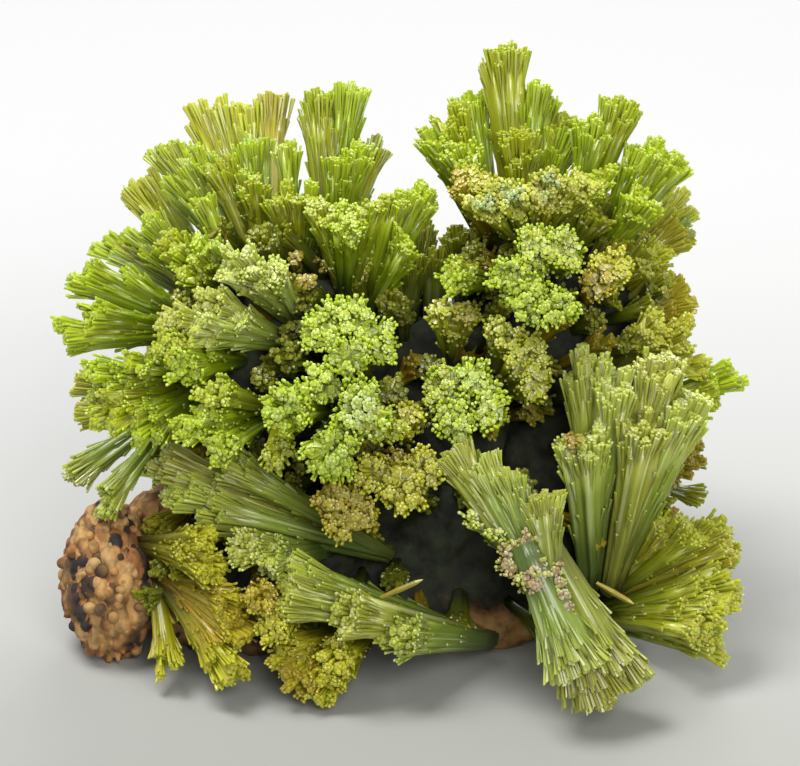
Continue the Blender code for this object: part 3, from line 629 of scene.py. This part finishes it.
def crystalTint():
    # Root, body and tip colours along the growth, partly the crystal's own and partly painted shade at the
    # root and painted light at the tip, warmer for some lobes, paler for some fingers and on the end faces,
    # with streaks of painted highlight, and frosted or broken where a lobe's end is
    group = bpy.data.node_groups.new("crystalTint", "ShaderNodeTree")
    for name in ("root", "body", "tip", "warm", "frosty"):
        group.interface.new_socket(name, in_out="INPUT", socket_type="NodeSocketColor")
    group.interface.new_socket("paintedSheen", in_out="INPUT", socket_type="NodeSocketFloat")
    group.interface.new_socket("colour", in_out="OUTPUT", socket_type="NodeSocketColor")
    nodes, links = group.nodes, group.links
    given, result = nodes.new("NodeGroupInput"), nodes.new("NodeGroupOutput")
    mix = partial(mixed, nodes, links)

    def span(value, low, high, bottom=0.0, top=1.0):
        # A smooth step from bottom to top while the value goes from low to high
        node = nodes.new("ShaderNodeMapRange")
        node.interpolation_type = "SMOOTHSTEP"
        links.new(value, node.inputs["Value"])
        setInputs(node, {"From Min": low, "From Max": high, "To Min": bottom, "To Max": top})
        return node.outputs["Result"]

    def times(first, second):
        # Product of two values
        node = nodes.new("ShaderNodeMath")
        node.operation = "MULTIPLY"
        links.new(first, node.inputs[0])
        links.new(second, node.inputs[1])
        return node.outputs["Value"]

    growth, toneAndSheen, finger, cap = (attributeValue(nodes, key) for key in ("growth", "toneAndSheen", "finger", "cap"))
    hue, frost, pink, rim = (attributeValue(nodes, key) for key in ("hue", "frost", "pink", "rim"))
    # Along the growth: the crystal's own change of colour, with painted shade at the root and painted light
    # at the tip
    colour = mix(span(growth, 0.2, 0.62), given.outputs["root"], given.outputs["body"])
    colour = mix(span(growth, 0.6, 1.0), colour, given.outputs["tip"])
    colour = mix(span(hue, 0.5, 1.0, 0.0, 0.6), colour, given.outputs["warm"])
    colour = mix(span(finger, 0.5, 1.0, 0.0, 0.25), colour, given.outputs["tip"])
    colour = mix(span(cap, 0.0, 1.0, 0.0, 0.14), colour, given.outputs["frosty"])
    frosted = times(times(frost, span(growth, 0.86, 0.97)), span(rim, 0.8, 0.5))
    colour = mix(frosted, colour, given.outputs["frosty"])
    blotch = noise(nodes, links, {"Scale": 1300.0})
    broken = times(times(pink, span(blotch, 0.38, 0.56)), span(growth, 0.7, 0.95))
    colour = mix(broken, colour, linear(156, 132, 92))
    # Streaks of painted highlight: pale where the random tone is high, from a third of the way up a lobe
    paintedSheenMask = times(times(given.outputs["paintedSheen"], span(toneAndSheen, 0.7, 0.92)), span(growth, 0.3, 0.5))
    colour = mix(paintedSheenMask, colour, linear(214, 222, 176))
    dark = mix(1.0, colour, (0.86, 0.87, 0.8, 1.0), "MULTIPLY")
    colour = mix(span(toneAndSheen, 0.0, 0.5), dark, colour)
    links.new(colour, result.inputs["colour"])
    return group


def crystalMaterial(name, look, group):
    # A waxy, slightly translucent crystal in the tint's colour
    made, nodes, links, shader = newMaterial(name)
    tint = nodes.new("ShaderNodeGroup")
    tint.node_tree = group
    setInputs(tint, {key: value if key == "paintedSheen" else linear(*value) for key, value in look.items()})
    links.new(tint.outputs["colour"], shader.inputs["Base Color"])
    setInputs(shader, {
        "Roughness": 0.32, "IOR": 1.6, "Subsurface Weight": 0.45, "Subsurface Radius": (0.6, 1.0, 0.15),
        "Subsurface Scale": 0.0008})
    return made


tintGroup = crystalTint()
crystalMaterials = {
    key: crystalMaterial("pyromorphite_" + key, look, tintGroup) for key, look in looks.items()}


def triangleCount(made):
    # A face counts as two triangles fewer than it has corners
    return len(made.data.loops) - 2 * len(made.data.polygons)


faces = 0
for number, (name, entry) in enumerate(sprays.items()):
    faces += triangleCount(spray(name, entry, crystalMaterials[entry.get("look", "lime")], number + 1))
print("sprays ready, triangles:", faces)

# Matrix

# Middle and radii of each lump; the first one shows bare at the left
matrixLumps = [
    ((-18.0, -12.4, -0.5), (3.2, 5.0, 4.2)),
    ((-9.5, -11.0, -3.5), (8.5, 6.6, 6.0)),
    ((3.0, -11.4, -4.5), (8.5, 6.6, 5.0)),
    ((-7.5, 1.0, -2.5), (7.0, 7.5, 5.6)),
    ((9.0, 4.0, -3.8), (5.5, 6.5, 4.6)),
    ((10.5, -6.5, -5.0), (5.0, 7.5, 4.6)),
    ((1.5, -2.5, -5.5), (7.0, 7.0, 4.0)),
]


def ballGrid(rows, columns):
    # A closed unit ball on a grid of latitude rows and longitude columns, with one corner at each pole
    polar = np.linspace(0, math.pi, rows + 1)[1:-1]
    around = np.arange(columns) * math.tau / columns
    grid = np.stack([
        np.sin(polar)[:, None] * np.cos(around)[None],
        np.sin(polar)[:, None] * np.sin(around)[None],
        np.cos(polar)[:, None] * np.ones(columns)[None],
    ], -1).reshape(-1, 3)
    row, column = np.meshgrid(np.arange(rows - 2), np.arange(columns), indexing="ij")
    first, second = row * columns + column, row * columns + (column + 1) % columns
    quads = np.stack([first, first + columns, second + columns, second], -1).reshape(-1, 4)
    ring = np.arange(columns)
    follow = (ring + 1) % columns
    last = (rows - 2) * columns
    ends = np.concatenate([
        np.stack([ring, follow, np.full(columns, len(grid))], -1),
        np.stack([last + follow, last + ring, np.full(columns, len(grid) + 1)], -1)])
    return np.concatenate([grid, [[0, 0, 1.0], [0, 0, -1.0]]]), quads, ends


limonite = {
    "knobs": 420,  # on each lump
    "knobSize": (0.05, 0.19),  # as a share of the lump
    "knobHeight": 0.13,  # of the highest one, as a share of the lump
    "openLumpHeight": 0.17,  # the same on the lump that shows at the left
    "openGrid": (72, 144),  # rows and columns of that lump's mesh
    "grid": (36, 72),  # the same of the others
    "nodules": 90,  # loose round nodules on the open lump and along the lower edge
    "openShare": 0.7,  # share of them on the open lump
    "noduleRadius": (0.15, 0.5),
    "noduleGrid": (9, 16),
}


def openness(points):
    # 1 where bare limonite shows, at the left and at the lower middle, 0 in the shaded inside
    left = np.clip((-13.2 - points[:, 0]) / 1.6, 0, 1) * np.clip((-5.0 - points[:, 1]) / 1.5, 0, 1)
    low = np.clip((-13.6 - points[:, 1]) / 1.2, 0, 1)
    return np.maximum(left, low)


def bareness(points):
    # The same, and also 1 on the back, which the sprays leave open
    return np.maximum(openness(points), np.clip((-6.0 - points[:, 2]) / 1.2, 0, 1))


def matrixPiece():
    # Lumps with round knobs, of which the highest counts where several meet, and loose nodules
    rng = np.random.default_rng(77)
    heap = Heap()
    for index, (middle, radii) in enumerate(matrixLumps):
        ball, quads, ends = ballGrid(*limonite["openGrid" if index == 0 else "grid"])
        knobs = unit(rng.normal(0, 1, (limonite["knobs"], 3)))
        size = rng.uniform(*limonite["knobSize"], len(knobs))
        height = rng.uniform(0.3, 1.0, len(knobs))
        close = np.clip(1 - np.linalg.norm(ball[:, None] - knobs[None], axis=2) / size, 0, 1)
        bump = np.sqrt(close * (2 - close)) * height
        owner = bump.argmax(axis=1)
        bump = bump.max(axis=1)
        rise = limonite["openLumpHeight"] if index == 0 else limonite["knobHeight"]
        surface = np.array(middle) + ball * np.array(radii) * (1.0 - rise * 0.55 + rise * bump[:, None])
        points = place(surface)
        points[:, 2] = np.maximum(points[:, 2], 0.0)
        heap.add(points, [quads, ends], {
            "stain": rng.uniform(0, 1, len(knobs))[owner], "open": bareness(surface)}, True)
    ball, quads, ends = ballGrid(*limonite["noduleGrid"])
    for number in range(limonite["nodules"]):
        onOpen = number < limonite["nodules"] * limonite["openShare"]
        middle, radii = matrixLumps[0 if onOpen else 1 + number % 2]
        way = unit(rng.normal(0, 1, 3) + np.array([-0.2, 0.1 if onOpen else -0.5, 0.9]))
        radius = rng.uniform(*limonite["noduleRadius"])
        surface = np.array(middle) + way * np.array(radii) * 0.97 + ball * radius * rng.uniform(0.8, 1.1, 3)
        points = place(surface)
        if points[:, 2].min() < 0.1:
            continue
        heap.add(points, [quads, ends], {
            "stain": np.full(len(points), rng.uniform(0, 1)), "open": bareness(surface)}, True)
    piece = heap.piece("limonite_matrix", limoniteMaterial())
    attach(piece, "root")
    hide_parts("limonite_matrix")


def limoniteMaterial():
    # Ochre, rust and black oxide by knob where the matrix is bare; in the inside a near-black olive that is
    # painted shade
    made, nodes, links, shader = newMaterial("limonite")
    mix = partial(mixed, nodes, links)

    def ramp(value, stops):
        # Colours at positions from 0 to 1, blended between them
        node = nodes.new("ShaderNodeValToRGB")
        elements = node.color_ramp.elements
        while len(elements) < len(stops):
            elements.new(0.5)
        for element, (position, colour) in zip(elements, stops):
            element.position, element.color = position, colour
        links.new(value, node.inputs["Fac"])
        return node.outputs["Color"]

    grain = noise(nodes, links, {"Scale": 1400.0, "Detail": 4.0})
    patch = noise(nodes, links, {"Scale": 420.0})
    bare = ramp(attributeValue(nodes, "stain"), [
        (0.0, linear(30, 27, 25)), (0.3, linear(40, 34, 30)), (0.36, linear(112, 74, 40)),
        (0.55, linear(170, 112, 58)), (0.75, linear(182, 140, 84)), (1.0, linear(192, 164, 110))])
    dusty = ramp(patch, [
        (0.36, linear(34, 30, 28)), (0.47, linear(120, 76, 38)), (0.6, linear(180, 138, 80))])
    bare = mix(ramp(patch, [(0.4, (0, 0, 0, 1)), (0.6, (0.7, 0.7, 0.7, 1))]), bare, dusty)
    speckle = ramp(grain, [(0.3, (0.42, 0.4, 0.38, 1)), (0.55, (1, 1, 1, 1))])
    # Painted shade: the inside of the matrix gets a near-black olive with grain
    paintedShadeInside = ramp(grain, [(0.35, linear(14, 17, 8)), (0.7, linear(38, 44, 17))])
    bare = mix(1.0, bare, speckle, "MULTIPLY")
    links.new(mix(attributeValue(nodes, "open"), paintedShadeInside, bare), shader.inputs["Base Color"])
    bump = nodes.new("ShaderNodeBump")
    setInputs(bump, {"Strength": 0.8, "Distance": 0.0002})
    links.new(grain, bump.inputs["Height"])
    links.new(bump.outputs["Normal"], shader.inputs["Normal"])
    shader.inputs["Roughness"].default_value = 0.8
    return made


matrixPiece()
print("matrix ready")

# Small sprigs between the sprays

sprigs = {
    "candidates": 700,  # tried on each lump of the matrix
    "apart": 1.45,  # least distance between two places
    "most": 150,  # places that get a sprig
    "facing": 0.12,  # near share of the ground's direction from which a place comes first
    "length": (2.2, 4.6),
    "width": (0.9, 1.5),
    "sunk": 0.8,  # how far a sprig starts inside the matrix
    "tilt": 0.28,  # how far its direction strays
    "centre": np.array([0.0, -3.0, -9.0]),  # which the sprigs point away from
    "lowest": (2.2, 1.2),  # least height over the floor of a place and of a tip
    # The dark hollow at the lower middle, which stays free, as two corners across, up and near
    "hollow": ((0.2, -13.2, -3.0), (7.6, -7.6, 99.0)),
    "own": {  # what they have instead of the sprays' values
        "flutes": 26, "innerSpacing": 0.27, "rimSpacing": 0.18, "scales": 6, "finger": 0.5, "teeth": 0.15},
    # Small golden buds, as across, up, near and width
    "buds": [
        (10.9, -3.4, 9.8, 0.7), (-9.2, 7.6, 5.0, 0.7), (-7.6, 7.0, 5.6, 0.8), (-5.8, 6.6, 5.6, 0.7),
        (-6.6, 8.0, 4.6, 0.6)],
    # Longer ones that fill the gap between the left dome and the crown, as start, tip and width
    "fillers": [
        ((0.5, 3.0, -5.0), (0.4, 8.4, -4.0), 1.6), ((2.0, 3.0, -5.0), (2.4, 8.8, -4.5), 1.7),
        ((1.2, 3.6, -6.0), (1.1, 10.4, -7.0), 1.8), ((3.8, 3.4, -5.0), (3.6, 10.0, -4.0), 1.6),
        ((-0.6, 3.6, -5.0), (-0.8, 9.8, -5.5), 1.6), ((5.4, 4.4, -4.0), (4.4, 8.6, 0.5), 1.5)],
    # Two single spindle-shaped crystals, from end to end, and their radius along the way
    "needles": [((-1.2, -13.4, 9.0), (1.4, -12.3, 9.6)), ((12.3, -12.5, 7.2), (14.6, -13.8, 8.0))],
    "needleWay": np.array([0, 0.45, 0.85, 1.0]),
    "needleRadii": np.array([0.12, 0.2, 0.16, 0.05]),
}


def sprigPlaces(rng):
    # Points spread over the lumps, kept where they are outside the other lumps, the bare limonite and the
    # hollow, each with the near share of its ground's direction
    kept = []
    middles = np.array([middle for middle, radii in matrixLumps])
    spans = np.array([radii for middle, radii in matrixLumps])
    low, high = np.array(sprigs["hollow"])
    for index in range(1, len(matrixLumps)):
        ball = unit(rng.normal(0, 1, (sprigs["candidates"], 3)))
        surface = middles[index] + ball * spans[index]
        depth = (((surface[:, None] - middles) / spans) ** 2).sum(axis=2)
        depth[:, index] = np.inf
        hollow = ((surface > low) & (surface < high)).all(axis=1)
        fine = ((depth.min(axis=1) > 0.95) & (place(surface)[:, 2] > sprigs["lowest"][0])
                & (openness(surface) < 0.3) & ~hollow)
        for point, direction in zip(surface[fine], unit(ball / spans[index])[fine]):
            if kept and np.linalg.norm(np.array(kept)[:, :3] - point, axis=1).min() < sprigs["apart"]:
                continue
            kept.append((*point, direction[2]))
    return np.array(kept)


def needle(heap, low, high):
    # Six-sided rings that side faces join, closed by a low point at the high end and flat at the low one
    axis = unit(high - low)
    side = unit(np.cross(axis, [0.3, 0.5, 0.81]))
    turn = (0.4 + np.arange(6) * math.tau / 6)[:, None]
    hexagon = np.cos(turn) * side + np.sin(turn) * np.cross(axis, side)
    centres, radii = low + (high - low) * sprigs["needleWay"][:, None], sprigs["needleRadii"]
    corners = (centres[:, None] + radii[:, None, None] * hexagon).reshape(-1, 3)
    vertices = np.concatenate([corners, [centres[-1] + axis * radii[-1]]])
    count, last = len(vertices), len(corners) - 6
    ring, corner, follow = np.arange(len(radii) - 1)[:, None] * 6, np.arange(6), (np.arange(6) + 1) % 6
    quads = np.stack([ring + corner, ring + follow, ring + follow + 6, ring + corner + 6], -1)
    point = np.stack([last + corner, last + follow, np.full(6, count - 1)], -1)
    even = {"toneAndSheen": 0.6, "rim": 1.0, "finger": 0.9, "hue": 1.0, "frost": 0.0, "pink": 0.0, "cap": 0.0}
    values = {key: np.full(count, value) for key, value in even.items()}
    values["growth"] = np.linspace(0.4, 1.0, count)
    heap.add(vertices, [quads.reshape(-1, 4), point, corner[None, ::-1]], values)


def sprigPiece():
    # One short lobe on each chosen place, those that face the viewer first, then buds, fillers and needles
    rng = np.random.default_rng(501)
    own = {**bundle, **sprigs["own"]}
    heap, kept = Heap(), sprigPlaces(rng)
    order = np.argsort(rng.uniform(0, 1, len(kept)) + 0.8 * (kept[:, 3] < sprigs["facing"]))
    for point in kept[order[:sprigs["most"]], :3]:
        way = unit(unit(point - sprigs["centre"]) + rng.normal(0, sprigs["tilt"], 3))
        ends = place([point - way * sprigs["sunk"], point + way * rng.uniform(*sprigs["length"])])
        if ends[1, 2] < sprigs["lowest"][1]:
            continue
        lobe(heap, ends[0], ends[1], rng.uniform(*sprigs["width"]), rng, own, rng.uniform(0, 1))
    for across, up, near, width in sprigs["buds"]:
        ends = place([(across * 0.97, up - 0.8, near - 2.4), (across, up, near)])
        lobe(heap, ends[0], ends[1], width, rng, own, 1.0)
    for low, high, width in sprigs["fillers"]:
        ends = place([low, high])
        lobe(heap, ends[0], ends[1], width, rng, own, 0.4)
    for low, high in sprigs["needles"]:
        needle(heap, place(low)[0], place(high)[0])
    # The sprigs take the darker deep look, which is painted shade
    made = heap.piece("small_sprigs", crystalMaterials["deep"])
    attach(made, "root")
    return made


faces += triangleCount(sprigPiece())
print("sprigs ready, triangles in all crystals:", faces)

# Floor and light

studio = {
    "floorSize": 6.0,
    "floor": linear(197, 197, 197),  # behind the specimen
    # The darker floor in front is painted shade
    "shadedNearFloor": linear(152, 153, 147),  # in front of it
    "blend": (-0.05, 0.09),  # where one starts to become the other and where it has
    "world": 0.42,
}


def addFloor():
    # A wide flat sheet, pale behind and darker in front, where the darker front is painted shade
    size = studio["floorSize"]
    mesh = bpy.data.meshes.new("floor")
    corners = [(-size, -size, 0), (size, -size, 0), (size, size, 0), (-size, size, 0)]
    mesh.from_pydata(corners, [], [(0, 1, 2, 3)])
    floor = bpy.data.objects.new("floor", mesh)
    bpy.context.scene.collection.objects.link(floor)
    made, nodes, links, shader = newMaterial("pale_floor")
    coordinates = nodes.new("ShaderNodeTexCoord")
    parts = nodes.new("ShaderNodeSeparateXYZ")
    links.new(coordinates.outputs["Object"], parts.inputs["Vector"])
    depth = nodes.new("ShaderNodeMapRange")
    depth.interpolation_type = "SMOOTHSTEP"
    depth.inputs["From Min"].default_value, depth.inputs["From Max"].default_value = studio["blend"]
    links.new(parts.outputs["Y"], depth.inputs["Value"])
    shade = mixed(nodes, links, depth.outputs["Result"], studio["shadedNearFloor"], studio["floor"])
    links.new(shade, shader.inputs["Base Color"])
    setInputs(shader, {"Roughness": 0.9, "Specular IOR Level": 0.1})
    mesh.materials.append(made)


def addLight(name, spot, aim, size, power):
    # A round soft light that points from its spot to its aim
    data = bpy.data.lights.new(name, "AREA")
    data.shape = "DISK"
    data.size = size
    data.energy = power
    lamp = bpy.data.objects.new(name, data)
    lamp.location = spot
    lamp.rotation_mode = "QUATERNION"
    lamp.rotation_quaternion = (Vector(spot) - Vector(aim)).to_track_quat("Z", "Y")
    bpy.context.scene.collection.objects.link(lamp)


addFloor()
addLight("key", (-0.12, -0.05, 0.4), (0, 0, 0.015), 0.2, 1.6)
addLight("back", (0.1, 0.4, 0.35), (0, 0.1, 0.0), 0.3, 1.5)
addLight("front", (0.1, -0.4, 0.25), (0, 0, 0.015), 0.25, 1.5)
world = bpy.data.worlds.new("studio")
world.use_nodes = True
setInputs(world.node_tree.nodes["Background"], {"Color": (1, 1, 1, 1), "Strength": studio["world"]})
bpy.context.scene.world = world
bpy.context.scene.view_settings.view_transform = "Standard"
print("studio ready")
